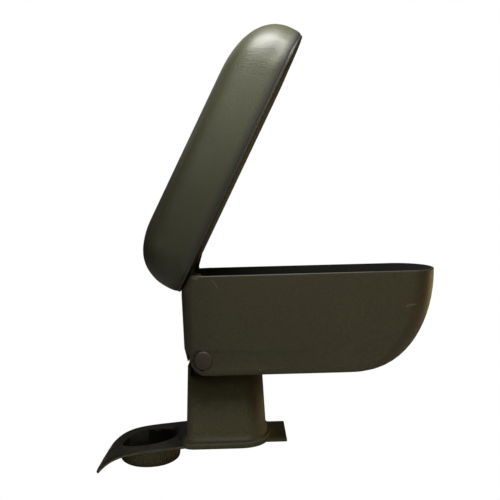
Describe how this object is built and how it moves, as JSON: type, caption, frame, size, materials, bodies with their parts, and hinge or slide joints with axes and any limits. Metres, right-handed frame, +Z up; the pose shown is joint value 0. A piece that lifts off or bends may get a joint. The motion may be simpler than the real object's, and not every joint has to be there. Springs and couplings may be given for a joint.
{
  "type": "car armrest",
  "caption": "Console armrest for a car: a padded lid hinged at the rear over a bow-fronted storage box, which tilts up on a post with a cup recess behind it.",
  "frame": {"origin": "centre of the post's foot, on the flat plane that rests on the console", "axes": "+X to the front of the car, -Y the near side in the picture, +Z up; the lid is stored open, as pictured"},
  "size_m": [0.3762, 0.134, 0.4826],
  "materials": {
    "pedestal_plastic": "fine-grained moulded plastic",
    "box_plastic": "fine-grained moulded plastic with light scuffs",
    "cover_leather": "satin grained imitation leather",
    "foam": "soft foam",
    "board": "pressed fibre board",
    "tray_plastic": "fine-grained moulded plastic",
    "bearing_plastic": "smooth nylon",
    "steel": "plated steel",
    "screw_steel": "dark plated steel",
    "buffer_rubber": "soft rubber"
  },
  "bodies": {
    "pedestal": {"pedestal": "pedestal_plastic", "pivot_sleeve": "steel", "ear_bush_near": "bearing_plastic", "ear_bush_far": "bearing_plastic"},
    "box": {"storage_box": "box_plastic", "pivot_bolt": "steel", "pivot_nut": "steel", "pivot_washer_near": "steel", "pivot_washer_far": "steel", "pivot_cap_near": "box_plastic", "pivot_cap_far": "box_plastic", "hinge_pin_near": "steel", "hinge_pin_far": "steel"},
    "lid": {"pad_cover": "cover_leather", "pad_foam": "foam", "lid_board": "board", "lid_tray": "tray_plastic", "hinge_bush_near": "bearing_plastic", "hinge_bush_far": "bearing_plastic", "lid_screw_1": "screw_steel", "lid_screw_2": "screw_steel", "lid_screw_3": "screw_steel", "lid_screw_4": "screw_steel", "lid_screw_5": "screw_steel", "lid_screw_6": "screw_steel", "lid_buffer_1": "buffer_rubber", "lid_buffer_2": "buffer_rubber", "lid_buffer_3": "buffer_rubber", "lid_buffer_4": "buffer_rubber"}
  },
  "joints": [
    {"name": "box_tilt", "type": "hinge", "parent": "pedestal", "child": "box", "pos_m": [-0.0217, 0, 0.0952], "axis": [0, -1, 0], "range_deg": [0, 50]},
    {"name": "lid_hinge", "type": "hinge", "parent": "box", "child": "lid", "pos_m": [-0.0318, 0, 0.1787], "axis": [0, 1, 0], "range_deg": [0, 63]}
  ]
}
